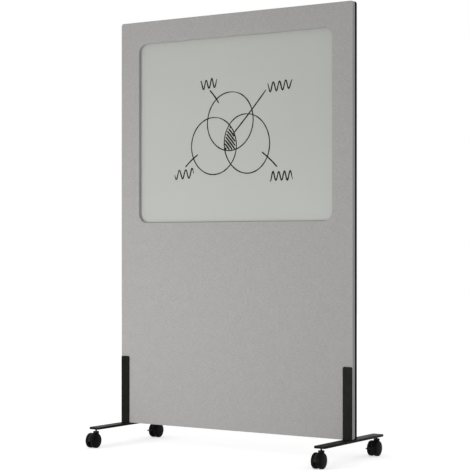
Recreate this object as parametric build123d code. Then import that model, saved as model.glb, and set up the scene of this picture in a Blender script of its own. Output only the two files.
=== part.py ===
from build123d import *
import os
from math import cos, radians, sin

# A rolling whiteboard: an upholstered screen with an enamelled writing sheet in a window, held by
# flat straps on two base bars that roll on twin-wheel swivel casters.
#
# Millimetres, +Z up. The writing side faces -Y, left is -X. The origin is on the floor, at the
# middle of the footprint with every caster trailing towards -Y.

# ---------------------------------------------------------------- driving dimensions

# Panel, from the front: moulded felt pad, wooden frame with its filling, thin back pad.
panel_width = 1200.0
panel_height = 1800.0
panel_corner = 12.0
pad_thickness = 16.0
pad_bevel = 3.0
core_thickness = 16.0
back_thickness = 3.0
back_inset = 3.0
back_bevel = 1.2

# Window in the front pad, and the writing sheet behind it.
window_side_margin = 100.0
window_top_margin = 100.0
window_height = 800.0
window_corner = 40.0
window_bevel = 3.0
sheet_overlap = 20.0
sheet_thickness = 1.0
cross_rail_height = 80.0

# Stand.
bar_width = 50.0
bar_length = 490.0
bar_thickness = 10.0
bar_corner = 2.0
strap_width = 42.0
strap_height = 300.0
strap_thickness = 5.0
strap_corner = 6.0

# Strap screws: hexagon heads on the rear strap, which lies on the stile in a notch of the back pad.
screw_radius = 3.0
screw_length = 16.0
screw_head_flats = 10.0
screw_head_height = 4.0
screw_low_height = 45.0
screw_high_height = 255.0
screw_pilot_depth = 1.0

# Casters: the stem stands this far in from each end of its bar.
caster_inset = 16.0
wheel_radius = 32.5
wheel_width = 17.0
wheel_gap = 14.0
caster_trail = 18.0
stem_radius = 4.0
stem_exposed = 8.5
stem_cover = 1.5
socket_floor_gap = 0.3

# Wheel: a cylindrical tread, a sloping shoulder and a flat hub face, with a blind bore.
tread_width = 12.0
hub_face_radius = 22.0

# Caster housing: a mudguard and web between the wheels, under a round collar.
side_clearance = 1.0
guard_wall = 3.0
guard_start = 12.0
guard_end = 184.0
guard_end_braked = 150.0
web_thickness = 4.0
socket_depth = 16.0
socket_length = 22.0
collar_radius = 13.0
collar_height = 5.5
collar_skirt = 8.0
axle_radius = 3.0
axle_boss_radius = 7.0
axle_end_cover = 3.0

# Brake on the rear casters: a pedal on a cross pin, which swings down and in to the treads.
brake_pin_radius = 1.5
brake_pin_reach = 20.0
brake_pin_rise = 14.0
brake_knuckle_radius = 3.6
brake_cheek = 5.2
brake_arm_width = 5.0
brake_pedal_width = 30.0
brake_pedal_length = 20.0
brake_pedal_corner = 5.0
brake_pedal_thickness = 4.0
brake_pedal_drop = 10.5
brake_shoe_gap = 3.0

# Clearances.
fixed_fit = 0.02
running_fit = 0.05
lining_gap = 0.3
screw_clearance = 0.3

# ---------------------------------------------------------------- worked-out places

guard_radius = wheel_radius + side_clearance / 2
caster_spacing = bar_length - 2 * caster_inset
front_reach = caster_spacing / 2 + caster_trail + guard_radius
rear_reach = max(bar_length / 2, caster_spacing / 2 - caster_trail + guard_radius)
panel_y = (front_reach - rear_reach) / 2

collar_bottom = 2 * wheel_radius + side_clearance
collar_top = collar_bottom + collar_height
bar_bottom = collar_top + stem_exposed
bar_top = bar_bottom + bar_thickness
bar_x = panel_width / 2 - bar_width / 2

panel_thickness = pad_thickness + core_thickness + back_thickness
front_y = panel_y - panel_thickness / 2
core_front_y = front_y + pad_thickness
core_back_y = core_front_y + core_thickness
back_y = core_back_y + back_thickness
panel_top = bar_top + panel_height
panel_middle = bar_top + panel_height / 2

window_width = panel_width - 2 * window_side_margin
window_top = panel_top - window_top_margin
window_bottom = window_top - window_height
window_middle = (window_top + window_bottom) / 2
stile_width = window_side_margin - sheet_overlap
opening_half_width = panel_width / 2 - stile_width
opening_top = window_top + sheet_overlap
opening_bottom = window_bottom - sheet_overlap

screw_heights = (bar_top + screw_low_height, bar_top + screw_high_height)
screw_seat_y = core_back_y + strap_thickness
screw_tip_y = screw_seat_y - screw_length - screw_pilot_depth

housing_width = wheel_gap - 2 * side_clearance
socket_bottom = collar_bottom - socket_length
wheel_inner = wheel_gap / 2
wheel_outer = wheel_inner + wheel_width

sides = {"left": -1, "right": 1}
ends = {"front": -1, "rear": 1}


# ---------------------------------------------------------------- helpers

def block(x, y, z):
    """A box from the (low, high) pairs of its three axes."""
    centre = [(low + high) / 2 for low, high in (x, y, z)]
    return Pos(*centre) * Box(*[high - low for low, high in (x, y, z)])


def facing_front(y, z):
    """An upright plane at depth y, with its own origin at height z, that faces the writing side."""
    return Plane(origin=(0, y, z), x_dir=(1, 0, 0), z_dir=(0, -1, 0))


def mirrored(shape, side):
    """A right-hand shape as it is, or its mirror image for the left."""
    return shape if side > 0 else mirror(shape, about=Plane.YZ)


def rod_along_y(radius, x, z, y_low, y_high):
    """A round rod that lies along Y."""
    return Pos(x, (y_low + y_high) / 2, z) * Rot(90, 0, 0) * Cylinder(radius, y_high - y_low)


def rod_along_x(radius, y, z, length):
    """A round rod that lies along X, centred on the middle plane."""
    return Pos(0, y, z) * Rot(0, 90, 0) * Cylinder(radius, length)


def drilled(shape, radius, y_low, y_high, x_places):
    """The shape with the strap screws' holes from one depth to another."""
    for x in x_places:
        for z in screw_heights:
            shape -= rod_along_y(radius, x, z, y_low, y_high)
    return shape


def pie(radius, start, end):
    """A sector of a circle about the sketch's origin, between two angles in degrees."""
    middle = (start + end) / 2
    points = [(radius * cos(radians(angle)), radius * sin(radians(angle))) for angle in (start, middle, end)]
    arc = ThreePointArc(*points)
    return make_face([Line((0, 0), arc @ 0), arc, Line(arc @ 1, (0, 0))])


# ---------------------------------------------------------------- panel

def front_pad():
    """The felt pad: eased outer edges, and the window with its own eased edge."""
    plane = facing_front(core_front_y, panel_middle)
    window = RectangleRounded(window_width, window_height, window_corner)
    outline = RectangleRounded(panel_width, panel_height, panel_corner)
    outline -= Pos(0, window_middle - panel_middle) * window
    pad = extrude(plane * outline, pad_thickness)
    face = pad.faces().sort_by(Axis.Y)[0]
    pad = chamfer(face.inner_wires()[0].edges(), window_bevel)
    face = pad.faces().filter_by(Axis.Y).sort_by(Axis.Y)[0]
    return chamfer(face.outer_wire().edges(), pad_bevel)


def back_pad():
    """The thin pad on the back, set in from the frame's edge and notched for the rear straps."""
    plane = facing_front(back_y, panel_middle)
    width, height = panel_width - 2 * back_inset, panel_height - 2 * back_inset
    pad = extrude(plane * RectangleRounded(width, height, panel_corner), back_thickness)
    face = pad.faces().sort_by(Axis.Y)[-1]
    pad = chamfer(face.outer_wire().edges(), back_bevel)
    notch_x = bar_x - strap_width / 2 - lining_gap
    notch_top = bar_top + strap_height + lining_gap
    for side in sides.values():
        pad -= mirrored(block((notch_x, panel_width), (core_back_y, back_y), (0, notch_top)), side)
    return pad


def stile(side):
    """An upright of the frame; its outer corners follow the pad's."""
    x = (opening_half_width, panel_width / 2)
    upright = block(x, (core_front_y, core_back_y), (bar_top, panel_top))
    corners = upright.edges().filter_by(Axis.Y).group_by(Axis.X)[-1]
    upright = fillet(corners, panel_corner)
    upright = drilled(upright, screw_radius + fixed_fit, screw_tip_y, core_back_y, (bar_x,))
    return mirrored(upright, side)


def rail(z_low, z_high):
    """A cross member between the stiles."""
    x = (-opening_half_width, opening_half_width)
    return block(x, (core_front_y, core_back_y), (z_low, z_high))


def lining(y_low, y_high, z_low, z_high):
    """A board or filling that fits between the stiles and two rails."""
    half_width = opening_half_width - lining_gap
    return block((-half_width, half_width), (y_low, y_high), (z_low + lining_gap, z_high - lining_gap))


def panel_nodes():
    """Every piece of the panel."""
    sheet_back_y = core_front_y + sheet_thickness
    cross_rail_bottom = opening_bottom - cross_rail_height
    return {
        "front_pad": front_pad(),
        "writing_sheet": lining(core_front_y, sheet_back_y, opening_bottom, opening_top),
        "backing_board": lining(sheet_back_y, core_back_y, opening_bottom, opening_top),
        "sound_absorber": lining(core_front_y, core_back_y, bar_top + stile_width, cross_rail_bottom),
        "left_stile": stile(-1),
        "right_stile": stile(1),
        "top_rail": rail(opening_top, panel_top),
        "cross_rail": rail(cross_rail_bottom, opening_bottom),
        "bottom_rail": rail(bar_top, bar_top + stile_width),
        "back_pad": back_pad(),
    }


# ---------------------------------------------------------------- stand

def base_bar(side):
    """The flat steel foot, with a blind tapped hole near each end for a caster stem."""
    bar = Pos(bar_x, panel_y, bar_bottom + bar_thickness / 2) * Box(bar_width, bar_length, bar_thickness)
    bar = chamfer(bar.edges().filter_by(Axis.Z), bar_corner)
    hole_depth = bar_thickness - stem_cover
    for end in ends.values():
        hole = Cylinder(stem_radius + fixed_fit, hole_depth)
        bar -= Pos(bar_x, panel_y + end * caster_spacing / 2, bar_bottom + hole_depth / 2) * hole
    return mirrored(bar, side)


def strap(side, end):
    """A flat strap welded on the bar: the front one on the pad, the rear one on the frame."""
    inner_y = front_y if end < 0 else core_back_y
    outer_y = inner_y + end * strap_thickness
    x = (bar_x - strap_width / 2, bar_x + strap_width / 2)
    plate = block(x, (min(inner_y, outer_y), max(inner_y, outer_y)), (bar_top, bar_top + strap_height))
    plate = fillet(plate.edges().filter_by(Axis.Y).group_by(Axis.Z)[-1], strap_corner)
    if end > 0:
        plate = drilled(plate, screw_radius + screw_clearance, inner_y, outer_y, (bar_x,))
    return mirrored(plate, side)


def strap_screws(side):
    """The two hexagon-head screws of one side."""
    head = extrude(RegularPolygon(screw_head_flats / 2, 6, major_radius=False), screw_head_height)
    shank = Pos(0, 0, -screw_length / 2) * Cylinder(screw_radius, screw_length)
    screw = Rot(-90, 0, 0) * (head + shank)
    return Compound(children=[Pos(side * bar_x, screw_seat_y, z) * screw for z in screw_heights])


def stand_nodes():
    """The bars, straps and screws of both sides."""
    nodes = {}
    for side_name, side in sides.items():
        nodes[f"{side_name}_base_bar"] = base_bar(side)
        nodes[f"{side_name}_front_strap"] = strap(side, -1)
        nodes[f"{side_name}_rear_strap"] = strap(side, 1)
        nodes[f"{side_name}_strap_screws"] = strap_screws(side)
    return nodes


# ---------------------------------------------------------------- casters
# Each caster is drawn with its stem on the Z axis and its axle towards -Y.

axle_place = Pos(0, -caster_trail, wheel_radius)
brake_pin_y = -caster_trail - brake_pin_reach
brake_pin_z = wheel_radius + brake_pin_rise


def stem():
    """The plain pin that stands in the bar and turns in the housing."""
    low, high = socket_bottom + socket_floor_gap, bar_top - stem_cover
    return Pos(0, 0, (low + high) / 2) * Cylinder(stem_radius, high - low)


def housing(braked):
    """The moulded body between the wheels: mudguard, web, stem socket and collar."""
    half_width = housing_width / 2
    end_angle = guard_end_braked if braked else guard_end
    fan = pie(guard_radius, guard_start, end_angle)
    guard = fan - Circle(guard_radius - guard_wall)
    web = fan + Circle(axle_boss_radius)
    plane = Plane.YZ * Pos(-caster_trail, wheel_radius)
    body = extrude(plane * guard, half_width, both=True)
    body += extrude(plane * web, web_thickness / 2, both=True)
    body += block(
        (-half_width, half_width),
        (-socket_depth / 2, socket_depth / 2),
        (socket_bottom - guard_wall, collar_bottom),
    )
    if braked:
        body += Pos(0, brake_pin_y, brake_pin_z) * Box(housing_width, 2 * brake_cheek, 2 * brake_cheek)
    body += collar(half_width)
    if braked:
        body -= brake_slot()
        body -= rod_along_x(brake_pin_radius + fixed_fit, brake_pin_y, brake_pin_z, housing_width)
    socket_height = collar_top - socket_bottom
    body -= Pos(0, 0, socket_bottom + socket_height / 2) * Cylinder(stem_radius + running_fit, socket_height)
    return body - rod_along_x(axle_radius + fixed_fit, -caster_trail, wheel_radius, housing_width)


def collar(half_width):
    """The round collar, with a skirt that runs down over the wheels' leading shoulders."""
    bottom = collar_bottom - collar_skirt
    ring = Pos(0, 0, (bottom + collar_top) / 2) * Cylinder(collar_radius, collar_top - bottom)
    room = rod_along_x(wheel_radius + side_clearance, -caster_trail, wheel_radius, collar_radius)
    for side in sides.values():
        ring -= Pos(side * (half_width + collar_radius / 2), 0, 0) * room
    return ring


def brake_slot():
    """The slot between the pin's cheeks, with room for the knuckle and the arm's swing."""
    width = brake_arm_width + side_clearance
    room = brake_knuckle_radius + side_clearance
    reach = guard_radius + side_clearance
    slot = rod_along_x(room, brake_pin_y, brake_pin_z, width)
    y = (brake_pin_y - reach, brake_pin_y + brake_knuckle_radius)
    return slot + block((-width / 2, width / 2), y, (brake_pin_z - reach, brake_pin_z + room))


def axle():
    """The steel pin that both wheels turn on."""
    return rod_along_x(axle_radius, -caster_trail, wheel_radius, 2 * (wheel_outer - axle_end_cover))


def wheel():
    """The right-hand wheel, turned from its half section."""
    bore_radius = axle_radius + running_fit
    bore_end = wheel_outer - axle_end_cover + side_clearance / 2
    section = Polyline(
        (wheel_inner, wheel_radius),
        (wheel_inner + tread_width, wheel_radius),
        (wheel_outer, hub_face_radius),
        (wheel_outer, 0),
        (bore_end, 0),
        (bore_end, bore_radius),
        (wheel_inner, bore_radius),
        close=True,
    )
    return axle_place * revolve(make_face(section), Axis.X)


def brake_pin():
    """The cross pin of the brake lever."""
    return rod_along_x(brake_pin_radius, brake_pin_y, brake_pin_z, housing_width)


def brake_lever():
    """The pedal, its arm and its knuckle, raised."""
    shoe_y = -caster_trail - wheel_radius - brake_shoe_gap
    tip_y = shoe_y - brake_pedal_length
    pedal_z = brake_pin_z - brake_pedal_drop
    top = pedal_z + brake_pedal_thickness / 2
    bottom = pedal_z - brake_pedal_thickness / 2
    knuckle = Pos(brake_pin_y, brake_pin_z) * Circle(brake_knuckle_radius)
    root = Rectangle(brake_pedal_thickness, brake_pedal_thickness)
    root = Pos(shoe_y - brake_pedal_thickness / 2, pedal_z) * root
    arm = make_hull(knuckle.edges() + root.edges())
    lever = extrude(Plane.YZ * arm, brake_arm_width / 2, both=True)
    pedal = block((-brake_pedal_width / 2, brake_pedal_width / 2), (tip_y, shoe_y), (bottom, top))
    tip_edges = pedal.edges().filter_by(Axis.Z).group_by(Axis.Y)[0]
    lever += fillet(tip_edges, brake_pedal_corner)
    return lever - rod_along_x(brake_pin_radius + running_fit, brake_pin_y, brake_pin_z, 2 * brake_arm_width)


def caster_nodes():
    """The four casters, each at its own stem."""
    nodes = {}
    for end_name, end in ends.items():
        braked = end > 0
        for side_name, side in sides.items():
            place = Pos(side * bar_x, panel_y + end * caster_spacing / 2, 0)
            name = f"{end_name}_{side_name}"
            nodes[f"{name}_stem"] = place * stem()
            nodes[f"{name}_housing"] = place * housing(braked)
            nodes[f"{name}_axle"] = place * axle()
            for wheel_name, wheel_side in (("wheel_a", -1), ("wheel_b", 1)):
                nodes[f"{name}_{wheel_name}"] = place * mirrored(wheel(), wheel_side)
            if braked:
                nodes[f"{name}_brake_lever"] = place * brake_lever()
                nodes[f"{name}_brake_pin"] = place * brake_pin()
    return nodes


# ---------------------------------------------------------------- write the parts

os.makedirs("parts", exist_ok=True)
for node, shape in {**panel_nodes(), **stand_nodes(), **caster_nodes()}.items():
    export_step(shape, f"parts/{node}.step")
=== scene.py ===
import math

import bmesh
import bpy
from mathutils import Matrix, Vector, noise


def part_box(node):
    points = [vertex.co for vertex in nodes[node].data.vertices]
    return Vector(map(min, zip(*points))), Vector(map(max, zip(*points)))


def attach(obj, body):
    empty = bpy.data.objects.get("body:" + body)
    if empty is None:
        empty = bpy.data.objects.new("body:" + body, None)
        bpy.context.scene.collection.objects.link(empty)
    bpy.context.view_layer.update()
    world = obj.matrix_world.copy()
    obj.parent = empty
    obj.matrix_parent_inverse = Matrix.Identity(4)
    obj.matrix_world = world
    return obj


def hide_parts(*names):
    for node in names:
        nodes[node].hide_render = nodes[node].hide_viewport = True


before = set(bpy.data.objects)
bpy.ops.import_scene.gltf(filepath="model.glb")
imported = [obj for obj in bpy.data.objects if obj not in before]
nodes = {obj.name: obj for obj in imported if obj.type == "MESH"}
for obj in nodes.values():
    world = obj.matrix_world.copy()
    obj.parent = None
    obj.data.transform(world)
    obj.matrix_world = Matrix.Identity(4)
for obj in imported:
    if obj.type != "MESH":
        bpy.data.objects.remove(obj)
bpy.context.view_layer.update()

MM = 0.001
SIDES = ("left", "right")

# Each end, with the way along Y that its straps face.
ENDS = {"front": -1, "rear": 1}


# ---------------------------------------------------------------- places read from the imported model

pad_low, pad_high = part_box("front_pad")
sheet_low, sheet_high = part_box("writing_sheet")
back_low, back_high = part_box("back_pad")
front_y, pad_back_y = pad_low.y, pad_high.y
SHEET_OVERLAP = 20 * MM
window_low = Vector((sheet_low.x + SHEET_OVERLAP, 0, sheet_low.z + SHEET_OVERLAP))
window_high = Vector((sheet_high.x - SHEET_OVERLAP, 0, sheet_high.z - SHEET_OVERLAP))
window_middle = (window_low + window_high) / 2


# ---------------------------------------------------------------- mesh helpers
# A shape is (vertices, faces). A loop is a list of (u, v), counter-clockwise.

COINCIDENT = 0.002 * MM
SMALLEST_CORNER = 0.05 * MM
SMALLEST_RADIUS = 0.01 * MM
NO_LENGTH = 1e-9
MITRE_LIMIT = 0.5


def in_scene(name, data):
    """A new object in the scene."""
    obj = bpy.data.objects.new(name, data)
    bpy.context.scene.collection.objects.link(obj)
    return obj


def mesh_object(name, vertices, faces, material, smooth=40):
    """A mesh, smooth shaded with edges sharper than the given angle kept crisp.
    Points that coincide are welded. A face of more than four sides is a flat end, so it is shaded flat."""
    mesh = bpy.data.meshes.new(name)
    mesh.from_pydata([tuple(v) for v in vertices], [], faces)
    welded = bmesh.new()
    welded.from_mesh(mesh)
    bmesh.ops.remove_doubles(welded, verts=welded.verts, dist=COINCIDENT)
    welded.to_mesh(mesh)
    welded.free()
    mesh.validate()
    mesh.materials.append(material)
    mesh.shade_smooth()
    mesh.set_sharp_from_angle(angle=math.radians(smooth))
    for face in mesh.polygons:
        face.use_smooth = face.loop_total <= 4
    return in_scene(name, mesh)


def arc_points(centre, radius, start, end, steps):
    """Points along an arc in a plane, in degrees."""
    points = []
    for i in range(steps + 1):
        angle = math.radians(start + (end - start) * i / steps)
        points.append((centre[0] + radius * math.cos(angle), centre[1] + radius * math.sin(angle)))
    return points


def rounded_loop(low, high, radii, corner_steps=6, side_steps=(1, 1)):
    """A rectangle with a radius at each corner: low-low, high-low, high-high and low-high."""
    corners = (
        ((low[0], low[1]), (1, 1), 180),
        ((high[0], low[1]), (-1, 1), 270),
        ((high[0], high[1]), (-1, -1), 0),
        ((low[0], high[1]), (1, -1), 90),
    )
    arcs = []
    for (corner, inward, start), radius in zip(corners, radii):
        radius = max(radius, SMALLEST_CORNER)
        centre = (corner[0] + inward[0] * radius, corner[1] + inward[1] * radius)
        arcs.append(arc_points(centre, radius, start, start + 90, corner_steps))
    loop = []
    for i, arc in enumerate(arcs):
        loop.extend(arc)
        here, after = arc[-1], arcs[(i + 1) % 4][0]
        steps = side_steps[i % 2]
        for k in range(1, steps):
            t = k / steps
            loop.append((here[0] + (after[0] - here[0]) * t, here[1] + (after[1] - here[1]) * t))
    return loop


def inset(loop, distance):
    """A loop moved inwards by a distance."""
    moved = []
    count = len(loop)
    for i, point in enumerate(loop):
        before, after = Vector(loop[i - 1]), Vector(loop[(i + 1) % count])
        here = Vector(point)
        a, b = (here - before), (after - here)
        if a.length < NO_LENGTH or b.length < NO_LENGTH:
            a = b = after - before
        a.normalize()
        b.normalize()
        n1, n2 = Vector((-a.y, a.x)), Vector((-b.y, b.x))
        middle = (n1 + n2).normalized()
        moved.append(tuple(here + middle * (distance / max(middle.dot(n1), MITRE_LIMIT))))
    return moved


def bridge(rings, closed_caps=True):
    """A skin over rings of equally many points."""
    vertices = [point for ring in rings for point in ring]
    count = len(rings[0])
    faces = []
    for r in range(len(rings) - 1):
        for i in range(count):
            j = (i + 1) % count
            faces.append((r * count + i, r * count + j, (r + 1) * count + j, (r + 1) * count + i))
    if closed_caps:
        faces.append(tuple(reversed(range(count))))
        faces.append(tuple((len(rings) - 1) * count + i for i in range(count)))
    return vertices, faces


def in_plan(u, v, height):
    """The place of a plate that lies flat."""
    return Vector((u, v, height))


def on_edge(u, v, depth):
    """The place of a plate that stands and faces along Y."""
    return Vector((u, depth, v))


def rolled_plate(loop, low, high, roll_low, roll_high, place, steps=3):
    """A plate with the loop's outline between two heights, with rolled edges.
    An edge with no roll is one ring. place turns (u, v, height) into a point of the frame."""
    quarter = [math.pi / 2 * i / steps for i in range(steps + 1)]
    rings = []
    for angle in quarter if roll_low else quarter[-1:]:
        ring = inset(loop, roll_low * (1 - math.sin(angle)))
        rings.append([place(u, v, low + roll_low * (1 - math.cos(angle))) for u, v in ring])
    for angle in quarter if roll_high else quarter[:1]:
        ring = inset(loop, roll_high * (1 - math.cos(angle)))
        rings.append([place(u, v, high - roll_high * (1 - math.sin(angle))) for u, v in ring])
    return bridge(rings)


def turned(profile, place, segments):
    """A solid of revolution: profile points are (along the axis, radius).
    place turns (along, b, c) into a point of the frame."""
    angles = [2 * math.pi * i / segments for i in range(segments)]
    rings = []
    for along, radius in profile:
        radius = max(radius, SMALLEST_RADIUS)
        rings.append([place(along, radius * math.cos(angle), radius * math.sin(angle)) for angle in angles])
    return bridge(rings)


def joined(*parts):
    """Several shapes as one."""
    vertices, faces = [], []
    for part_vertices, part_faces in parts:
        start = len(vertices)
        vertices.extend(part_vertices)
        faces.extend(tuple(start + i for i in face) for face in part_faces)
    return vertices, faces


def hull(points):
    """The convex loop round points in a plane."""

    def turns_left(a, b, c):
        return (b[0] - a[0]) * (c[1] - a[1]) - (b[1] - a[1]) * (c[0] - a[0]) > 0

    def half(sequence):
        chain = []
        for point in sequence:
            while len(chain) > 1 and not turns_left(chain[-2], chain[-1], point):
                chain.pop()
            chain.append(point)
        return chain[:-1]

    points = sorted(set(points))
    return half(points) + half(reversed(points))


def taper(t, tip, rate):
    """The share of its full size that a stroke or bead has at t, which goes from 0 to 1 along it.
    tip is the share at its two ends, and rate is how fast it grows from them."""
    return min(1, tip + rate * t, tip + rate * (1 - t))


# ---------------------------------------------------------------- materials

def added(tree, kind, **inputs):
    """A new node with some of its inputs set."""
    node = tree.nodes.new(kind)
    for socket, value in inputs.items():
        node.inputs[socket.replace("_", " ")].default_value = value
    return node


class Nodes:
    """A principled material and the few nodes that its detail comes from."""

    def __init__(self, name, **sockets):
        self.material = bpy.data.materials.new(name)
        self.material.use_nodes = True
        self.tree = self.material.node_tree
        self.shader = self.tree.nodes["Principled BSDF"]
        self.coordinate = self.tree.nodes.new("ShaderNodeTexCoord").outputs["Object"]
        for socket, value in sockets.items():
            self.shader.inputs[socket.replace("_", " ")].default_value = value

    def link(self, a, b):
        self.tree.links.new(a, b)

    def noise(self, scale, detail=2.0, roughness=0.5, distortion=0.0, stretch=None):
        """The grey value of a noise, stretched along an axis where asked."""
        node = added(self.tree, "ShaderNodeTexNoise", Scale=scale, Detail=detail, Roughness=roughness,
                     Distortion=distortion)
        source = self.coordinate
        if stretch:
            mapping = added(self.tree, "ShaderNodeMapping", Scale=stretch)
            self.link(source, mapping.inputs["Vector"])
            source = mapping.outputs["Vector"]
        self.link(source, node.inputs["Vector"])
        return node.outputs["Fac"]

    def between(self, value, low, high):
        """The middle of a noise's range, 0.3 to 0.7, spread between two numbers."""
        node = added(self.tree, "ShaderNodeMapRange", From_Min=0.3, From_Max=0.7, To_Min=low, To_Max=high)
        self.link(value, node.inputs["Value"])
        return node.outputs["Result"]

    def math(self, operation, a, b):
        node = self.tree.nodes.new("ShaderNodeMath")
        node.operation = operation
        for socket, value in zip(node.inputs, (a, b)):
            if isinstance(value, (int, float)):
                socket.default_value = value
            else:
                self.link(value, socket)
        return node.outputs["Value"]

    def mixed(self, *shares):
        """A weighted sum: shares are (value, weight)."""
        parts = [self.math("MULTIPLY", value, weight) for value, weight in shares]
        total = parts[0]
        for part in parts[1:]:
            total = self.math("ADD", total, part)
        return total

    def ramp(self, value, *stops):
        """Colours along a value: stops are (place, colour)."""
        node = self.tree.nodes.new("ShaderNodeValToRGB")
        ramp = node.color_ramp
        while len(ramp.elements) < len(stops):
            ramp.elements.new(0.5)
        for element, (place, colour) in zip(ramp.elements, stops):
            element.position = place
            element.color = (*colour, 1)
        self.link(value, node.inputs["Fac"])
        return node.outputs["Color"]

    def colour(self, value):
        self.link(value, self.shader.inputs["Base Color"])

    def roughness(self, value):
        self.link(value, self.shader.inputs["Roughness"])

    def bump(self, value, distance, strength):
        node = added(self.tree, "ShaderNodeBump", Distance=distance, Strength=strength)
        self.link(value, node.inputs["Height"])
        self.link(node.outputs["Normal"], self.shader.inputs["Normal"])


def felt_material(name, dark, light):
    """Pressed felt: short fibres at many angles, level streaks, a soft mottle and a dull sheen."""
    m = Nodes(name, Roughness=0.95, Sheen_Weight=0.15, Sheen_Roughness=0.6, Specular_IOR_Level=0.15)
    fibres = m.noise(1400, detail=4, roughness=0.65, distortion=1.2)
    tufts = m.noise(330, detail=3, roughness=0.6, distortion=0.6)
    heather = m.noise(210, detail=3, roughness=0.6, stretch=(0.36, 1, 1.25))
    mottle = m.noise(28, detail=3, roughness=0.55, stretch=(0.6, 1, 1))
    shade = m.mixed((fibres, 0.30), (tufts, 0.15), (heather, 0.46), (mottle, 0.09))
    m.colour(m.ramp(shade, (0.36, dark), (0.64, light)))
    m.bump(m.math("ADD", fibres, tufts), 0.35 * MM, 0.6)
    return m.material


def enamel_material():
    """Enamelled writing sheet: a pale grey satin with faint wiping marks.
    Its roughness stays above 0.28, since the render's noise filter draws smears where it passes 0.27."""
    m = Nodes("enamel_sheet", Specular_IOR_Level=0.22)
    wiped = m.noise(9, detail=4, roughness=0.6, distortion=0.5, stretch=(0.35, 1, 1.4))
    ghost = m.noise(2.2, detail=2)
    m.colour(m.ramp(ghost, (0.25, (0.439, 0.449, 0.434)), (0.75, (0.451, 0.461, 0.446))))
    m.roughness(m.between(wiped, 0.29, 0.36))
    m.bump(m.noise(160, detail=2), 0.02 * MM, 0.4)
    return m.material


def coated_steel_material(name, dark, light, roughness):
    """Fine-textured black finish on steel."""
    m = Nodes(name, Specular_IOR_Level=0.05)
    grain = m.noise(1500, detail=3, roughness=0.6)
    patches = m.noise(30, detail=3)
    m.colour(m.ramp(m.mixed((grain, 0.6), (patches, 0.4)), (0.35, dark), (0.65, light)))
    m.roughness(m.between(patches, *roughness))
    m.bump(grain, 0.08 * MM, 0.5)
    return m.material


def edge_material():
    """Black edge band of the frame, with a faint grain along its length. Its near-zero colour is black paint
    with painted shade: the shade of the panel's side and gap is darkened into it.
    """
    m = Nodes("frame_edge_paint_and_painted_shade", Specular_IOR_Level=0.0)
    grain = m.noise(260, detail=4, roughness=0.6, stretch=(1, 1, 0.04))
    # Black paint with painted shade: these near-zero levels stand in for the shade on the panel's side.
    m.colour(m.ramp(grain, (0.3, (0.0010, 0.0010, 0.0010)), (0.7, (0.0024, 0.0024, 0.0024))))
    m.roughness(m.between(grain, 0.5, 0.65))
    m.bump(grain, 0.05 * MM, 0.4)
    return m.material


def nylon_material(name, dark, light, roughness):
    """Moulded nylon: a satin skin with the mould's fine erosion."""
    m = Nodes(name, Specular_IOR_Level=0.04)
    erosion = m.noise(2600, detail=2, roughness=0.7)
    flow = m.noise(70, detail=3, distortion=0.8)
    m.colour(m.ramp(flow, (0.3, dark), (0.7, light)))
    m.roughness(m.between(flow, *roughness))
    m.bump(erosion, 0.05 * MM, 0.5)
    return m.material


def steel_material():
    """Drawn steel rod, with fine lines round it."""
    m = Nodes("drawn_steel", Metallic=1.0)
    lines = m.noise(1800, detail=3, stretch=(3, 1, 1))
    m.colour(m.ramp(lines, (0.3, (0.42, 0.42, 0.43)), (0.7, (0.58, 0.58, 0.59))))
    m.roughness(m.between(lines, 0.29, 0.42))
    m.bump(lines, 0.02 * MM, 0.4)
    return m.material


def board_material():
    """Raw fibreboard behind the sheet."""
    m = Nodes("raw_board", Roughness=0.85, Specular_IOR_Level=0.3)
    chips = m.noise(420, detail=5, roughness=0.7, distortion=0.4, stretch=(1, 0.3, 1))
    m.colour(m.ramp(chips, (0.3, (0.30, 0.20, 0.11)), (0.7, (0.47, 0.34, 0.20))))
    m.bump(chips, 0.2 * MM, 0.5)
    return m.material


def filling_material():
    """Loose fibre filling."""
    m = Nodes("fibre_filling", Roughness=1.0, Specular_IOR_Level=0.1)
    fibres = m.noise(900, detail=6, roughness=0.75, distortion=2.5)
    m.colour(m.ramp(fibres, (0.3, (0.55, 0.54, 0.50)), (0.7, (0.80, 0.79, 0.75))))
    m.bump(fibres, 0.8 * MM, 0.8)
    return m.material


def ink_material():
    """Dry marker ink: dense, slightly streaky."""
    m = Nodes("marker_ink", Specular_IOR_Level=0.10)
    streaks = m.noise(700, detail=3, roughness=0.7)
    m.colour(m.ramp(streaks, (0.25, (0.008, 0.008, 0.008)), (0.75, (0.022, 0.022, 0.023))))
    m.roughness(m.between(streaks, 0.5, 0.7))
    return m.material


felt = felt_material("grey_felt", dark=(0.300, 0.293, 0.294), light=(0.418, 0.410, 0.409))
back_felt = felt_material("grey_felt_back", dark=(0.298, 0.291, 0.292), light=(0.412, 0.404, 0.403))
enamel = enamel_material()
black_steel = coated_steel_material("black_powder_coat", dark=(0.0048, 0.0054, 0.0040),
                                    light=(0.0090, 0.0100, 0.0074), roughness=(0.40, 0.52))
# The frame's edge: black paint with painted shade.
edge_paint_and_shade = edge_material()
wheel_nylon = nylon_material("wheel_nylon", dark=(0.0032, 0.0032, 0.0031),
                             light=(0.0062, 0.0062, 0.0060), roughness=(0.38, 0.52))
# Black nylon with painted light: the housing's nylon is about four times lighter than the wheels', standing
# in for the lamp on its front faces.
housing_nylon_painted_light = nylon_material("housing_nylon_painted_light", dark=(0.0120, 0.0120, 0.0117),
                               light=(0.0200, 0.0200, 0.0196), roughness=(0.34, 0.48))
zinc_black = coated_steel_material("black_zinc", dark=(0.010, 0.010, 0.010),
                                   light=(0.022, 0.022, 0.022), roughness=(0.30, 0.42))
steel = steel_material()
board = board_material()
filling = filling_material()
ink = ink_material()


# ---------------------------------------------------------------- pieces

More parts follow.
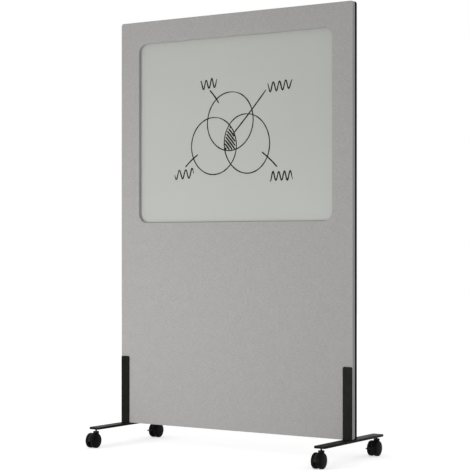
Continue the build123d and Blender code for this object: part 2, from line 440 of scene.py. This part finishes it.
CAD_FINISH = {
    "writing_sheet": enamel,
    "backing_board": board,
    "sound_absorber": filling,
    "left_stile": edge_paint_and_shade,
    "right_stile": edge_paint_and_shade,
    "top_rail": edge_paint_and_shade,
    "cross_rail": edge_paint_and_shade,
    "bottom_rail": edge_paint_and_shade,
}


def dress_cad_nodes():
    """Gives the CAD nodes that no piece replaces their finish."""
    for name, node in nodes.items():
        material = steel if name.endswith(("_axle", "_brake_pin")) else CAD_FINISH.get(name)
        if material:
            for slot in node.material_slots:
                slot.link = "OBJECT"
                slot.material = material


def piece(name, shape, material, body, replaced, smooth=40):
    """A new piece that rides on a body and stands for CAD nodes."""
    obj = mesh_object(name, *shape, material, smooth)
    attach(obj, body)
    if replaced:
        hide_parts(*replaced)
    return obj


dress_cad_nodes()


# ---------------------------------------------------------------- felt pads

PANEL_CORNER = 12 * MM
WINDOW_CORNER = 40 * MM
PAD_ROLL, PAD_ROLL_STEPS = 3.5 * MM, 6
WINDOW_ROLL, WINDOW_ROLL_STEPS = 3 * MM, 4
PAD_CORNER_STEPS, PAD_SIDE_STEPS = 10, (36, 48)
FACE_RINGS = 26
FACE_GIVE, MEAN_GIVE = 0.30 * MM, 0.75
BROAD_GIVE, FINE_GIVE = 7, 19
BACK_ROLL = 1.2 * MM
NOTCH_CORNER = 2 * MM
STRAP_GAP = 0.3 * MM


def pad_ring(rectangle, corner, by, y):
    """A ring of the pad's skin at one depth: a rounded rectangle grown by a distance."""
    low, high = rectangle
    loop = rounded_loop((low[0] - by, low[1] - by), (high[0] + by, high[1] + by), [corner + by] * 4,
                        PAD_CORNER_STEPS, PAD_SIDE_STEPS)
    return [Vector((u, y, v)) for u, v in loop]


def give(point):
    """A point of the felt's face, set back a little by a broad noise and a fine one."""
    depth = MEAN_GIVE + noise.noise(point * BROAD_GIVE) + 0.5 * noise.noise(point * FINE_GIVE)
    return point + Vector((0, FACE_GIVE * depth, 0))


def front_pad():
    """The felt pad: an eased window, a face that gives a little, and a rolled outer edge."""
    window = (window_low.x, window_low.z), (window_high.x, window_high.z)
    outer = (pad_low.x, pad_low.z), (pad_high.x, pad_high.z)
    window_side = [pad_ring(window, WINDOW_CORNER, 0, y) for y in (pad_back_y, front_y + WINDOW_ROLL)]
    for i in range(1, WINDOW_ROLL_STEPS + 1):
        angle = math.pi / 2 * i / WINDOW_ROLL_STEPS
        y = front_y + WINDOW_ROLL * (1 - math.sin(angle))
        window_side.append(pad_ring(window, WINDOW_CORNER, WINDOW_ROLL * (1 - math.cos(angle)), y))
    outer_side = []
    for i in range(PAD_ROLL_STEPS + 1):
        angle = math.pi / 2 * i / PAD_ROLL_STEPS
        y = front_y + PAD_ROLL * (1 - math.cos(angle))
        outer_side.append(pad_ring(outer, PANEL_CORNER, -PAD_ROLL * (1 - math.sin(angle)), y))
    outer_side.append(pad_ring(outer, PANEL_CORNER, 0, pad_back_y))
    face = []
    for i in range(1, FACE_RINGS):
        face.append([give(a.lerp(b, i / FACE_RINGS)) for a, b in zip(window_side[-1], outer_side[0])])
    return bridge([*window_side, *face, *outer_side, window_side[0]], closed_caps=False)


def back_pad():
    """The thin felt on the back, notched for the rear straps."""
    strap_low, strap_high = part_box("right_rear_strap")
    notch_x = strap_low.x - STRAP_GAP
    notch_z = strap_high.z + STRAP_GAP
    edge, bottom, top = back_high.x, back_low.z, back_high.z
    small, large = NOTCH_CORNER, PANEL_CORNER
    right = arc_points((notch_x - small, bottom + small), small, 270, 360, 4)
    right += arc_points((notch_x + small, notch_z - small), small, 180, 90, 4)
    right += arc_points((edge - small, notch_z + small), small, 270, 360, 4)
    right += arc_points((edge - large, top - large), large, 0, 90, 8)
    left = [(-u, v) for u, v in reversed(right)]
    return rolled_plate(right + left, back_low.y, back_high.y, 0, BACK_ROLL, on_edge)


pad = piece("felt_front", front_pad(), felt, "screen", ["front_pad"], smooth=50)
back = piece("felt_back", back_pad(), back_felt, "screen", ["back_pad"], smooth=50)


# ---------------------------------------------------------------- drawing on the sheet
# Its points are in mm from the window's middle, across and up.

LINE_WIDTH, POINTER_WIDTH, HATCH_WIDTH = 6.0 * MM, 7.2 * MM, 8.6 * MM
INK_PROUD = 0.06 * MM
STROKE_FILL, STROKE_WOBBLE, WOBBLE_SCALE = 0.92, 0.22, 60
STROKE_TIP, STROKE_TAPER = 0.45, 8
RING_START, RING_SWEEP, RING_STEPS = 75, 368, 100
RING_OVAL, RING_DRIFT = 0.018, 0.01
LINE_STEPS, LINE_BOW, HATCH_BOW, LINE_SHAKE = 20, 2.0, 0.8, 0.5
WAVE_STEPS, WAVE_SWING, WAVE_UNEVENNESS = 10, 0.8, 0.4
NOTE_HEIGHT = 50
HATCH_ORIGIN, HATCH_SPACING, HATCH_SLOPE = (-18, -40), 17.2, -1.15
HATCH_COUNT, HATCH_FIELD = 13, (-110, 131)
HATCH_REACH = 0.975
SHORTEST_HATCH = 6

# Each ring is its centre, and half its width and height.
RINGS = (
    ((-17, 35), (119, 127)),
    ((-103, -69), (116.5, 126.5)),
    ((69, -64), (117, 127)),
)
# Each leader is its start and end.
LEADERS = (
    ((-124, 175), (-76, 116)),
    ((168, 161), (-3, -22)),
    ((-256, -157), (-187, -103)),
    ((146, -103), (224, -169)),
)
# Each note is its left and right end, and its number of waves.
NOTES = (
    ((-174, 198), (-86, 204), 3),
    ((176, 171), (300, 177), 4),
    ((-313, -189), (-210, -186), 3),
    ((186, -210), (300, -206), 4),
)


def stroke(points, width, seed):
    """A thin film of ink along points, with a hand's unevenness and blunt ends."""
    path = [Vector((u * MM, v * MM)) for u, v in points]
    left, right = [], []
    for i, here in enumerate(path):
        along = (path[min(i + 1, len(path) - 1)] - path[max(i - 1, 0)]).normalized()
        side = Vector((-along.y, along.x))
        wobble = noise.noise(Vector((here.x * WOBBLE_SCALE, here.y * WOBBLE_SCALE, seed)))
        share = taper(i / (len(path) - 1), STROKE_TIP, STROKE_TAPER)
        half = width / 2 * (STROKE_FILL + STROKE_WOBBLE * wobble) * share
        left.append(here + side * half)
        right.append(here - side * half)
    outline = left + right[::-1]
    vertices = [
        Vector((p.x + window_middle.x, y, p.y + window_middle.z))
        for y in (sheet_low.y - INK_PROUD, sheet_low.y)
        for p in outline
    ]
    last, around = len(path) - 1, len(outline)
    front = [(around - 1 - i, around - 2 - i, i + 1, i) for i in range(last)]
    back = [tuple(around + i for i in reversed(face)) for face in front]
    rim = [(i, (i + 1) % around, around + (i + 1) % around, around + i) for i in range(around)]
    return vertices, front + back + rim


def ring_stroke(centre, reach, seed):
    """A hand-drawn ring that overshoots its start a little."""
    points = []
    for i in range(RING_STEPS + 1):
        angle = math.radians(RING_START + RING_SWEEP * i / RING_STEPS)
        unevenness = noise.noise(Vector((angle, seed, 0)))
        drift = 1 + RING_OVAL * math.sin(angle * 2 + seed) + RING_DRIFT * unevenness
        u = centre[0] + reach[0] * drift * math.cos(angle)
        v = centre[1] + reach[1] * drift * math.sin(angle)
        points.append((u, v))
    return stroke(points, LINE_WIDTH, seed)


def line_stroke(start, end, seed, bow, width):
    """A nearly straight stroke with a slight bow."""
    a, b = Vector(start), Vector(end)
    side = Vector((-(b - a).y, (b - a).x)).normalized()
    points = []
    for i in range(LINE_STEPS + 1):
        t = i / LINE_STEPS
        shake = LINE_SHAKE * noise.noise(Vector((t * 4, seed, 1)))
        points.append(tuple(a.lerp(b, t) + side * (bow * math.sin(math.pi * t) + shake)))
    return stroke(points, width, seed)


def wavy_stroke(left, right, waves, seed):
    """A wavy stroke that stands where a note would be written."""
    a, b = Vector(left), Vector(right)
    steps = waves * WAVE_STEPS
    points = []
    for i in range(steps + 1):
        t = i / steps
        swing = WAVE_SWING + WAVE_UNEVENNESS * noise.noise(Vector((t * 5, seed, 2)))
        lift = NOTE_HEIGHT / 2 * math.sin(2 * math.pi * waves * t + seed) * swing
        points.append(tuple(a.lerp(b, t) + Vector((0, lift))))
    return stroke(points, POINTER_WIDTH, seed)


def in_all_rings(u, v):
    """Whether a place is in the field that all rings share, short of their lines."""
    return all(math.hypot((u - cu) / wide, (v - cv) / tall) < HATCH_REACH for (cu, cv), (wide, tall) in RINGS)


def hatching():
    """Close slanted strokes that fill the field which all three rings share.
    Each is looked for on its own slanted line, a millimetre at a time."""
    strokes = []
    for k in range(-HATCH_COUNT, HATCH_COUNT + 1):
        inside = []
        for u in range(*HATCH_FIELD):
            v = HATCH_ORIGIN[1] + k * HATCH_SPACING + HATCH_SLOPE * (u - HATCH_ORIGIN[0])
            if in_all_rings(u, v):
                inside.append((u, v))
        if len(inside) > SHORTEST_HATCH:
            strokes.append(line_stroke(inside[0], inside[-1], 3.0 + k, HATCH_BOW, HATCH_WIDTH))
    return strokes


def marker_drawing():
    """Three rings with a hatched middle, and a leader to each of four notes."""
    strokes = [ring_stroke(centre, reach, 1.7 * i) for i, (centre, reach) in enumerate(RINGS)]
    strokes += [line_stroke(a, b, 9.0 + i, LINE_BOW, POINTER_WIDTH) for i, (a, b) in enumerate(LEADERS)]
    strokes += [wavy_stroke(a, b, waves, 20.0 + i) for i, (a, b, waves) in enumerate(NOTES)]
    strokes += hatching()
    return joined(*strokes)


piece("marker_drawing", marker_drawing(), ink, "screen", [], smooth=30)


# ---------------------------------------------------------------- stand

STEEL_EDGE = 0.7 * MM
STRAP_CORNER = 6 * MM
BAR_CORNER = 2.4 * MM
BEAD, BEAD_STEPS = 2.2 * MM, 60
BEAD_END_GAP, BEAD_ROOT, BEAD_SINK = 1 * MM, 0.4 * MM, 0.2 * MM
BEAD_TIP, BEAD_TAPER = 0.35, 12
RIPPLE, RIPPLE_RATE = 0.10, 130
BEAD_UNEVENNESS, BEAD_NOISE_ALONG, BEAD_NOISE_APART = 0.08, 300, 50
BEAD_MIDDLE = (0.45, 0.55)
HEAD_FLATS, HEAD_HEIGHT, HEAD_CHAMFER = 10 * MM, 4 * MM, 0.6 * MM
HEAD_LIFT, HEAD_SEAT_EDGE = 0.4 * MM, 0.1 * MM
WASHER_RADIUS, WASHER_HEIGHT = 4.6 * MM, 0.5 * MM


def flat_bar(low, high):
    """The foot bar: flat steel with sawn, eased ends."""
    loop = rounded_loop((low.x, low.y), (high.x, high.y), [BAR_CORNER] * 4, corner_steps=3)
    return rolled_plate(loop, low.z, high.z, STEEL_EDGE, STEEL_EDGE, in_plan)


def strap(low, high):
    """An upright strap with rounded top corners."""
    loop = rounded_loop((low.x, low.z), (high.x, high.z), [0, 0, STRAP_CORNER, STRAP_CORNER])
    return rolled_plate(loop, low.y, high.y, STEEL_EDGE, STEEL_EDGE, on_edge)


def weld_bead(low, high, face_y, outward):
    """The fillet weld between a strap's outer face and the bar, with its ripples."""
    sections = []
    for i in range(BEAD_STEPS + 1):
        t = i / BEAD_STEPS
        x = low.x + BEAD_END_GAP + (high.x - low.x - 2 * BEAD_END_GAP) * t
        unevenness = noise.noise(Vector((x * BEAD_NOISE_ALONG, 0, face_y * BEAD_NOISE_APART)))
        ripple = RIPPLE * math.sin(t * RIPPLE_RATE) + BEAD_UNEVENNESS * unevenness
        size = BEAD * (1 + ripple) * taper(t, BEAD_TIP, BEAD_TAPER)
        sections.append([
            Vector((x, face_y - outward * BEAD_ROOT, low.z + size)),
            Vector((x, face_y + outward * BEAD_MIDDLE[0] * size, low.z + BEAD_MIDDLE[1] * size)),
            Vector((x, face_y + outward * size, low.z)),
            Vector((x, face_y - outward * BEAD_ROOT, low.z - BEAD_SINK)),
        ])
    return bridge(sections)


def hex_screw(centre, seat_y):
    """A hexagon head with its chamfer and washer face."""

    def about_shank(along, b, c):
        return Vector((centre[0] + b, seat_y + along, centre[1] + c))

    hexagon = arc_points(centre, HEAD_FLATS / math.sqrt(3), 0, 300, 5)
    head = rolled_plate(hexagon, seat_y + HEAD_LIFT, seat_y + HEAD_HEIGHT, HEAD_SEAT_EDGE, HEAD_CHAMFER,
                        on_edge, steps=2)
    washer_profile = [(0, WASHER_RADIUS), (WASHER_HEIGHT, WASHER_RADIUS), (WASHER_HEIGHT, 0)]
    return joined(head, turned(washer_profile, about_shank, segments=40))


def make_stand_side(side):
    """One side's foot bar, its two straps with their welds, and the screws' heads."""
    low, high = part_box(f"{side}_base_bar")
    piece(f"{side}_foot", flat_bar(low, high), black_steel, "screen", [f"{side}_base_bar"])
    for end, outward in ENDS.items():
        low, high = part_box(f"{side}_{end}_strap")
        face_y = low.y if outward < 0 else high.y
        shape = joined(strap(low, high), weld_bead(low, high, face_y, outward))
        piece(f"{side}_{end}_upright", shape, black_steel, "screen", [f"{side}_{end}_strap"])
    low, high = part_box(f"{side}_strap_screws")
    middle_x = (low.x + high.x) / 2
    reach = HEAD_FLATS / 2
    heads = [hex_screw((middle_x, z), high.y - HEAD_HEIGHT) for z in (low.z + reach, high.z - reach)]
    piece(f"{side}_screw_heads", joined(*heads), zinc_black, "screen",
          [f"{side}_strap_screws"], smooth=25)


for side_name in SIDES:
    make_stand_side(side_name)


# ---------------------------------------------------------------- casters
# A caster's pieces are laid out from its stem's centre line (x, y) and its wheels' axle height.

wheel_low, wheel_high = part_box("front_right_wheel_b")
stem_low, stem_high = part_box("front_right_stem")
collar_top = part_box("front_right_housing")[1].z
bar_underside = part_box("right_base_bar")[0].z
WHEEL_RADIUS = (wheel_high.z - wheel_low.z) / 2
WHEEL_WIDTH = wheel_high.x - wheel_low.x
TRAIL = (stem_low.y + stem_high.y) / 2 - (wheel_low.y + wheel_high.y) / 2

# A wheel, measured from its inner face and its axle.
WHEEL_BORE = 3.2 * MM
HUB_RADIUS, HUB_DEPTH, HUB_EASE = 9.6 * MM, 2.2 * MM, 0.6 * MM
DISH_RADIUS, DISH_DEPTH = 25.4 * MM, 3.2 * MM
TREAD_EDGE_INNER, TREAD_EDGE_OUTER = 1.3 * MM, 2.5 * MM
RIM_DROP = 0.45 * MM
GROOVE_RADIUS, GROOVE_ROUND, GROOVE_RISE = 29.05 * MM, 0.5 * MM, 0.15 * MM
DOME_RADIUS, DOME_RISE, DOME_STEPS = 28.4 * MM, 3.25 * MM, 12

# The housing. Its angles are in degrees about the axle, from +Y upwards.
HOUSING_HALF = 6 * MM
GUARD_RADIUS, GUARD_WALL, GUARD_EDGE = WHEEL_RADIUS + 0.5 * MM, 3 * MM, 0.8 * MM
GUARD_START, GUARD_END, GUARD_END_BRAKED = 12, 184, 150
WEB_HALF, WEB_EDGE, WEB_MARGIN = 2 * MM, 0.2 * MM, 2
WEB_FOOT_HALF, WEB_FOOT_DROP = 3 * MM, 1 * MM
BOSS_HALF, BOSS_RADIUS, BOSS_EASE = 2.6 * MM, 7 * MM, 0.6 * MM
POST_HALF_LENGTH, POST_CORNER = 8 * MM, 1.5 * MM
POST_DEPTH, POST_OVERLAP = 24 * MM, 2 * MM
POST_EDGE_LOW, POST_EDGE_HIGH = 1 * MM, 0.2 * MM
COLLAR_RADIUS, COLLAR_HEIGHT = 13 * MM, 5.5 * MM
COLLAR_ROUND, COLLAR_EASE = 1.8 * MM, 0.3 * MM
MOUTH = ((0, 5.4 * MM), (0.6 * MM, 4.6 * MM), (1.2 * MM, 4.2 * MM))
SKIRT_RADIUS, SKIRT_DROP, SKIRT_STEPS = 12.7 * MM, 8 * MM, 36
SKIRT_END = 0.999
WHEEL_ROOM = WHEEL_RADIUS + 1 * MM
CHEEK_HALF, CHEEK_INNER, CHEEK_CORNER, CHEEK_EDGE = 5.2 * MM, 3.05 * MM, 2 * MM, 0.4 * MM

STEM_RADIUS, STEM_EASE, STEM_EASE_HEIGHT = 4 * MM, 0.4 * MM, 0.5 * MM
JOURNAL_DROP = 0.2 * MM
THREAD_ROOT, THREAD_PITCH, THREAD_START = 3.45 * MM, 1.25 * MM, 0.6 * MM
THREAD_CREST = (0.45, 0.60)

# The brake lever.
PIN_REACH, PIN_RISE = 20 * MM, 14 * MM
KNUCKLE_RADIUS = 3.6 * MM
ARM_HALF, ARM_EDGE, ARM_ROOT = 2.5 * MM, 0.5 * MM, 4 * MM
PEDAL_LENGTH, PEDAL_HALF, PEDAL_THICKNESS = 20 * MM, 15 * MM, 4 * MM
PEDAL_CORNER, PEDAL_BACK_CORNER = 5 * MM, 0.4 * MM
PEDAL_ROLL_LOW, PEDAL_ROLL_HIGH = 1.0 * MM, 0.9 * MM
RIB_COUNT, RIB_PITCH = 5, 2.6 * MM
RIB_HALF_LENGTH, RIB_HALF_WIDTH, RIB_CORNER = 11 * MM, 0.35 * MM, 0.3 * MM
RIB_RISE, RIB_ROOT, RIB_TOP_GAP, RIB_ROLL = 0.35 * MM, 0.6 * MM, 0.02 * MM, 0.2 * MM


def about_stem(x, y):
    """The place of a turned shape on a caster's centre line."""
    return lambda along, b, c: Vector((x + b, y + c, along))


def wheel_section():
    """A wheel's half section as (distance from its inner face, radius): a dished inner side with a hub,
    a tread with rounded edges, a groove inside the rim, and a dome that falls with the cube of the radius."""
    rim_face = WHEEL_WIDTH - DOME_RISE - RIM_DROP
    section = [(HUB_DEPTH, WHEEL_BORE), (HUB_DEPTH, HUB_RADIUS - HUB_EASE), (DISH_DEPTH, HUB_RADIUS)]
    # The dish slopes out to the inner face in 2 mm, eased at both ends.
    section += [(DISH_DEPTH, DISH_RADIUS), (DISH_DEPTH - 0.6 * MM, DISH_RADIUS + 0.8 * MM)]
    section += [(0.3 * MM, DISH_RADIUS + 1.6 * MM), (0, DISH_RADIUS + 2 * MM)]
    edge = TREAD_EDGE_INNER
    section += arc_points((edge, WHEEL_RADIUS - edge), edge, 180, 90, 5)
    edge = TREAD_EDGE_OUTER
    section += arc_points((rim_face - edge, WHEEL_RADIUS - edge), edge, 90, 0, 7)
    section += arc_points((rim_face + GROOVE_RISE, GROOVE_RADIUS), GROOVE_ROUND, 90, 270, 8)
    for i in range(DOME_STEPS + 1):
        radius = DOME_RADIUS * (1 - i / DOME_STEPS)
        section.append((WHEEL_WIDTH - DOME_RISE * (radius / DOME_RADIUS) ** 3, radius))
    return section


def wheel_shape(x_inner, side, axle_y):
    """A moulded wheel, turned from its section. side is the way along X that it faces."""
    return turned(wheel_section(), lambda a, b, c: Vector((x_inner + side * a, axle_y + b, WHEEL_RADIUS + c)),
                  segments=96)


def skirt_shape(x, y):
    """The collar's skirt: round in plan, stepped up over the two wheels that it follows.
    SKIRT_END keeps its first and last section from closing to a line."""
    top = collar_top - COLLAR_HEIGHT + COLLAR_EASE
    bottom = top - SKIRT_DROP
    sections = []
    for i in range(SKIRT_STEPS + 1):
        v = SKIRT_END * SKIRT_RADIUS * math.sin(math.radians(-90 + 180 * i / SKIRT_STEPS))
        half = math.sqrt(SKIRT_RADIUS ** 2 - v ** 2)
        step = min(half, HOUSING_HALF)
        over = max(bottom, WHEEL_RADIUS + math.sqrt(WHEEL_ROOM ** 2 - (v + TRAIL) ** 2))
        section = ((-half, over), (-step, over), (-step, bottom), (step, bottom), (step, over), (half, over),
                   (half, top), (-half, top))
        sections.append([Vector((x + u, y + v, w)) for u, w in section])
    return bridge(sections)


def collar_shape(x, y):
    """The round collar, with a rounded shoulder and a mouth that is eased round the stem."""
    bottom = collar_top - COLLAR_HEIGHT
    profile = [(bottom, BOSS_RADIUS)]
    profile += [(bottom, COLLAR_RADIUS - COLLAR_EASE), (bottom + COLLAR_EASE, COLLAR_RADIUS)]
    profile += arc_points((collar_top - COLLAR_ROUND, COLLAR_RADIUS - COLLAR_ROUND), COLLAR_ROUND, 90, 0, 6)
    profile += [(collar_top - depth, radius) for depth, radius in MOUTH]
    return turned(profile, about_stem(x, y), segments=72)


def housing_shape(x, y, braked):
    """Mudguard, web, boss, post, collar and skirt of one caster, and its brake cheeks."""
    axle_y = y - TRAIL

    def across(u, v, w):
        return Vector((x + w, axle_y + u, WHEEL_RADIUS + v))

    end = GUARD_END_BRAKED if braked else GUARD_END
    outer = arc_points((0, 0), GUARD_RADIUS, GUARD_START, end, 44)
    inner = arc_points((0, 0), GUARD_RADIUS - GUARD_WALL, end, GUARD_START, 44)
    guard = rolled_plate(outer + inner, -HOUSING_HALF, HOUSING_HALF, GUARD_EDGE, GUARD_EDGE, across)

    fan = arc_points((0, 0), GUARD_RADIUS - GUARD_WALL / 2, GUARD_START + WEB_MARGIN, end - WEB_MARGIN, 40)
    fan += [(-WEB_FOOT_HALF, -WEB_FOOT_DROP), (WEB_FOOT_HALF, -WEB_FOOT_DROP)]
    web = rolled_plate(fan, -WEB_HALF, WEB_HALF, WEB_EDGE, WEB_EDGE, across, steps=1)

    half, radius, ease = BOSS_HALF, BOSS_RADIUS, BOSS_EASE
    boss_profile = [(-half, 0), (-half, radius - ease), (-half + ease, radius),
                    (half - ease, radius), (half, radius - ease), (half, 0)]
    boss = turned(boss_profile, lambda along, b, c: across(b, c, along), segments=48)

    corner = (HOUSING_HALF, POST_HALF_LENGTH)
    post_loop = rounded_loop((-corner[0], -corner[1]), corner, [POST_CORNER] * 4, corner_steps=4)
    collar_bottom = collar_top - COLLAR_HEIGHT
    post = rolled_plate(post_loop, collar_bottom - POST_DEPTH, collar_bottom + POST_OVERLAP,
                        POST_EDGE_LOW, POST_EDGE_HIGH, lambda u, v, w: Vector((x + u, y + v, w)))

    parts = [guard, web, boss, post, collar_shape(x, y), skirt_shape(x, y)]
    if braked:
        low = (-PIN_REACH - CHEEK_HALF, PIN_RISE - CHEEK_HALF)
        high = (-PIN_REACH + CHEEK_HALF, PIN_RISE + CHEEK_HALF)
        cheek = rounded_loop(low, high, [CHEEK_CORNER] * 4, corner_steps=5)
        for near, far in ((-HOUSING_HALF, -CHEEK_INNER), (CHEEK_INNER, HOUSING_HALF)):
            parts.append(rolled_plate(cheek, near, far, CHEEK_EDGE, CHEEK_EDGE, across))
    return joined(*parts)


def stem_shape(x, y):
    """The stem: a plain journal in the socket, then thread from the collar up to the bar."""
    profile = [(stem_low.z, 0), (stem_low.z, STEM_RADIUS - STEM_EASE)]
    profile += [(stem_low.z + STEM_EASE_HEIGHT, STEM_RADIUS), (collar_top - JOURNAL_DROP, STEM_RADIUS)]
    height = collar_top + THREAD_START
    while height + THREAD_PITCH < bar_underside:
        profile.append((height, THREAD_ROOT))
        profile += [(height + share * THREAD_PITCH, STEM_RADIUS) for share in THREAD_CREST]
        height += THREAD_PITCH
    profile += [(height, THREAD_ROOT), (bar_underside, STEM_RADIUS)]
    profile += [(stem_high.z, STEM_RADIUS), (stem_high.z, 0)]
    return turned(profile, about_stem(x, y), segments=48)


def lever_shape(x, y):
    """The brake lever: knuckle, arm and a ribbed pedal."""
    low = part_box("rear_right_brake_lever")[0]
    rear_low, rear_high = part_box("rear_right_stem")
    tip_y = y + (low.y - (rear_low.y + rear_high.y) / 2)
    shoe_y = tip_y + PEDAL_LENGTH
    bottom, top = low.z, low.z + PEDAL_THICKNESS

    knuckle = arc_points((y - TRAIL - PIN_REACH, WHEEL_RADIUS + PIN_RISE), KNUCKLE_RADIUS, 0, 360, 32)
    root = [(v, height) for v in (shoe_y, shoe_y - ARM_ROOT) for height in (bottom, top)]
    arm = rolled_plate(hull(knuckle + root), -ARM_HALF, ARM_HALF, ARM_EDGE, ARM_EDGE,
                       lambda u, v, w: Vector((x + w, u, v)))

    corners = [PEDAL_CORNER, PEDAL_CORNER, PEDAL_BACK_CORNER, PEDAL_BACK_CORNER]
    loop = rounded_loop((x - PEDAL_HALF, tip_y), (x + PEDAL_HALF, shoe_y), corners, corner_steps=8)
    pedal = rolled_plate(loop, bottom, top - RIB_RISE, PEDAL_ROLL_LOW, PEDAL_ROLL_HIGH, in_plan, steps=4)

    ribs = []
    for k in range(RIB_COUNT):
        rib_y = tip_y + RIB_PITCH * (1 + k)
        rib_low = (x - RIB_HALF_LENGTH, rib_y - RIB_HALF_WIDTH)
        rib_high = (x + RIB_HALF_LENGTH, rib_y + RIB_HALF_WIDTH)
        rib = rounded_loop(rib_low, rib_high, [RIB_CORNER] * 4, corner_steps=3)
        ribs.append(rolled_plate(rib, top - RIB_ROOT, top - RIB_TOP_GAP, 0, RIB_ROLL, in_plan, steps=2))
    return joined(arm, pedal, *ribs)


def make_caster(caster):
    """One caster: stem, housing, two wheels and, where the CAD has one, its brake lever."""
    low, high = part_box(f"{caster}_stem")
    x, y = (low.x + high.x) / 2, (low.y + high.y) / 2
    braked = f"{caster}_brake_lever" in nodes
    piece(f"{caster}_stem_turned", stem_shape(x, y), zinc_black, "screen", [f"{caster}_stem"])
    piece(f"{caster}_body", housing_shape(x, y, braked), housing_nylon_painted_light, f"{caster}_caster",
          [f"{caster}_housing"], smooth=35)
    for wheel_name, wheel_side in (("wheel_a", -1), ("wheel_b", 1)):
        low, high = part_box(f"{caster}_{wheel_name}")
        x_inner = high.x if wheel_side < 0 else low.x
        piece(f"{caster}_{wheel_name}_moulded", wheel_shape(x_inner, wheel_side, y - TRAIL), wheel_nylon,
              f"{caster}_{wheel_name}", [f"{caster}_{wheel_name}"], smooth=35)
    if braked:
        piece(f"{caster}_pedal", lever_shape(x, y), housing_nylon_painted_light, f"{caster}_brake",
              [f"{caster}_brake_lever"], smooth=35)


for end_name in ENDS:
    for side_name in SIDES:
        make_caster(f"{end_name}_{side_name}")


# ---------------------------------------------------------------- floor, light and camera

FLOOR_REACH = 12.0
FLOOR_COLOUR = (0.80, 0.80, 0.80, 1)
FLOOR_GLOW = 0.54
WHITE = (1, 1, 1, 1)
ROOM_FILL = 0.66
LAMP_SIZE = (1.0, 0.5)
LAMP_WATTS = 51
LAMP_COLOUR = (1.0, 1.0, 0.95)
LAMP_PLACE = Vector((-1.0, -3.0, 0.34))
LAMP_AIM = Vector((-0.8, 0, -0.5))
CAMERA_PLACE = Vector((3.674, -5.442, 0.880))
CAMERA_TURN = math.radians(33.885)
CAMERA_LENS, CAMERA_SENSOR = 116.8, 36
CAMERA_SHIFT = 0.0263


def seen_ray(tree):
    """1 for a ray that shows the surroundings: to the camera, off a gloss or through glass."""
    path = tree.nodes.new("ShaderNodeLightPath")
    value = path.outputs["Is Camera Ray"]
    for other in ("Is Glossy Ray", "Is Transmission Ray"):
        either = tree.nodes.new("ShaderNodeMath")
        either.operation = "MAXIMUM"
        tree.links.new(value, either.inputs[0])
        tree.links.new(path.outputs[other], either.inputs[1])
        value = either.outputs[0]
    return value


def finish_by_ray(tree, lighting, seen, output):
    """Gives a tree one shader for the light it casts and another for what a seen ray meets."""
    choose = tree.nodes.new("ShaderNodeMixShader")
    out = tree.nodes.new(output)
    tree.links.new(seen_ray(tree), choose.inputs[0])
    tree.links.new(lighting.outputs[0], choose.inputs[1])
    tree.links.new(seen.outputs[0], choose.inputs[2])
    tree.links.new(choose.outputs[0], out.inputs["Surface"])


def floor():
    """A plain pale floor that reads as white and keeps the object's soft shadow."""
    material = bpy.data.materials.new("pale_floor")
    material.use_nodes = True
    tree = material.node_tree
    tree.nodes.clear()
    diffuse = added(tree, "ShaderNodeBsdfDiffuse", Color=FLOOR_COLOUR)
    glow = added(tree, "ShaderNodeEmission", Strength=FLOOR_GLOW)
    both = tree.nodes.new("ShaderNodeAddShader")
    tree.links.new(diffuse.outputs[0], both.inputs[0])
    tree.links.new(glow.outputs[0], both.inputs[1])
    finish_by_ray(tree, diffuse, both, "ShaderNodeOutputMaterial")
    size = FLOOR_REACH
    vertices = [(-size, -size, 0), (size, -size, 0), (size, size, 0), (-size, size, 0)]
    plane = mesh_object("studio_floor", vertices, [(0, 1, 2, 3)], material)


def room():
    """An even pale room that shows as white."""
    world = bpy.data.worlds.new("studio")
    bpy.context.scene.world = world
    world.use_nodes = True
    tree = world.node_tree
    tree.nodes.clear()
    fill = added(tree, "ShaderNodeBackground", Color=WHITE, Strength=ROOM_FILL)
    white = added(tree, "ShaderNodeBackground", Color=WHITE, Strength=1.0)
    finish_by_ray(tree, fill, white, "ShaderNodeOutputWorld")


def lamp():
    """A soft lamp, low and from the writing side's left."""
    data = bpy.data.lights.new("broad_lamp", "AREA")
    data.shape = "RECTANGLE"
    data.size, data.size_y = LAMP_SIZE
    data.energy = LAMP_WATTS
    data.color = LAMP_COLOUR
    obj = in_scene("broad_lamp", data)
    obj.location = LAMP_PLACE
    obj.rotation_euler = (LAMP_AIM - LAMP_PLACE).to_track_quat("-Z", "Y").to_euler()


def camera():
    """A long level lens, about 34 degrees round to the panel's right."""
    data = bpy.data.cameras.new("camera")
    data.lens = CAMERA_LENS
    data.sensor_width = CAMERA_SENSOR
    data.shift_y = CAMERA_SHIFT
    obj = in_scene("camera", data)
    obj.location = CAMERA_PLACE
    obj.rotation_euler = (math.pi / 2, 0, CAMERA_TURN)
    bpy.context.scene.camera = obj


floor()
room()
lamp()
camera()
bpy.context.scene.view_settings.view_transform = "Standard"
